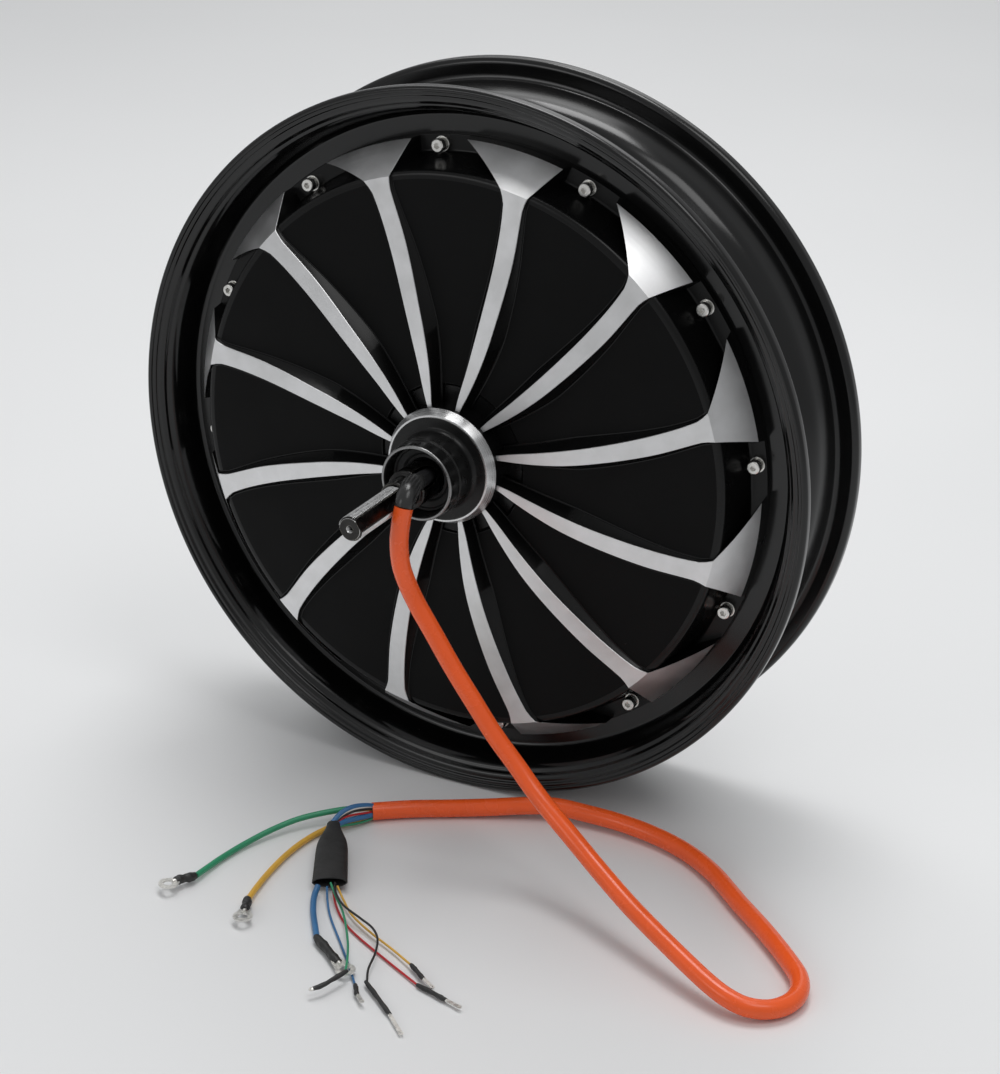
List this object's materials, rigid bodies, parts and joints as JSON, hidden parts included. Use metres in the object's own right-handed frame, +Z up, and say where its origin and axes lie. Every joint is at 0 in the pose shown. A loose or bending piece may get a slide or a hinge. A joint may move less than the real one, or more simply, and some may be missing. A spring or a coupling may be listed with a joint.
{
  "type": "hub motor wheel",
  "caption": "Wide drop-centre wheel rim with a hub motor inside, between bolted covers, on a threaded axle with a cable and loose wire ends.",
  "frame": {"origin": "centre of the wheel, on the axle's axis, midway between the rim's flanges", "axes": "+Y along the axle towards the brake-disc side, -Y towards the cable side, +Z up, +X to the right seen from the cable side"},
  "size_m": [0.5275, 0.497, 0.4636],
  "materials": {
    "black_paint": "satin black powder coat on cast aluminium",
    "matte_black": "matte black paint on cast aluminium; the spokes and flares of the front cover are turned bright",
    "aluminium": "as cast and machined",
    "steel": "ground or laminated steel",
    "dark_steel": "blackened steel, bright on worn edges",
    "zinc": "bright zinc plate",
    "copper": "varnished copper wire",
    "magnet_nickel": "nickel-plated magnets",
    "circuit_board": "green solder mask",
    "rubber": "black nitrile rubber",
    "cable_orange": "semi-gloss orange cable jacket",
    "heat_shrink": "black heat-shrink sleeve, with a tinned end on a terminal",
    "wire_green": "insulated wire",
    "wire_yellow": "insulated wire",
    "wire_blue": "insulated wire",
    "wire_red": "insulated wire",
    "wire_black": "insulated wire"
  },
  "bodies": {
    "axle_group": {"axle": "dark_steel", "stator_spider": "aluminium", "stator_core": "steel", "front_winding": "copper", "rear_winding": "copper", "hall_board": "circuit_board", "inner_leads": "wire_black", "front_bearing_inner_ring": "steel", "rear_bearing_inner_ring": "steel", "cable_sleeve": "heat_shrink", "cable_jacket": "cable_orange", "wire_neck": "wire_black", "wire_boot": "heat_shrink", "phase_wire_green": "wire_green", "phase_wire_yellow": "wire_yellow", "phase_wire_blue": "wire_blue", "phase_terminal_green": "heat_shrink", "phase_terminal_yellow": "heat_shrink", "phase_terminal_blue": "heat_shrink", "hall_wire_blue": "wire_blue", "hall_wire_green": "wire_green", "hall_wire_red": "wire_red", "hall_wire_black": "wire_black", "hall_wire_yellow": "wire_yellow", "hall_terminal_blue": "heat_shrink", "hall_terminal_green": "heat_shrink", "hall_terminal_red": "heat_shrink", "hall_terminal_black": "heat_shrink", "hall_terminal_yellow": "heat_shrink"},
    "wheel": {"rim": "black_paint", "flux_ring": "steel", "magnet_ring": "magnet_nickel", "front_cover": "matte_black", "rear_cover": "matte_black", "front_seal": "rubber", "rear_seal": "rubber", "front_bearing_outer_ring": "steel", "rear_bearing_outer_ring": "steel", "front_cover_screw_01": "zinc", "front_cover_screw_02": "zinc", "front_cover_screw_03": "zinc", "front_cover_screw_04": "zinc", "front_cover_screw_05": "zinc", "front_cover_screw_06": "zinc", "front_cover_screw_07": "zinc", "front_cover_screw_08": "zinc", "front_cover_screw_09": "zinc", "front_cover_screw_10": "zinc", "front_cover_screw_11": "zinc", "front_cover_screw_12": "zinc", "rear_cover_screw_1": "zinc", "rear_cover_screw_2": "zinc", "rear_cover_screw_3": "zinc", "rear_cover_screw_4": "zinc", "rear_cover_screw_5": "zinc", "rear_cover_screw_6": "zinc", "rear_cover_screw_7": "zinc", "rear_cover_screw_8": "zinc"},
    "front_balls": {"front_bearing_balls": "steel"},
    "rear_balls": {"rear_bearing_balls": "steel"}
  },
  "joints": [
    {"name": "wheel_spin", "type": "hinge", "parent": "axle_group", "child": "wheel", "pos_m": [0, 0, 0], "axis": [0, 1, 0], "continuous": true},
    {"name": "front_balls_spin", "type": "hinge", "parent": "axle_group", "child": "front_balls", "pos_m": [0, -0.0649, 0], "axis": [0, 1, 0], "continuous": true},
    {"name": "rear_balls_spin", "type": "hinge", "parent": "axle_group", "child": "rear_balls", "pos_m": [0, 0.0649, 0], "axis": [0, 1, 0], "continuous": true}
  ],
  "couplings": [
    {"joint": "front_balls_spin", "follows": "wheel_spin", "ratio": 0.6},
    {"joint": "rear_balls_spin", "follows": "wheel_spin", "ratio": 0.6}
  ]
}
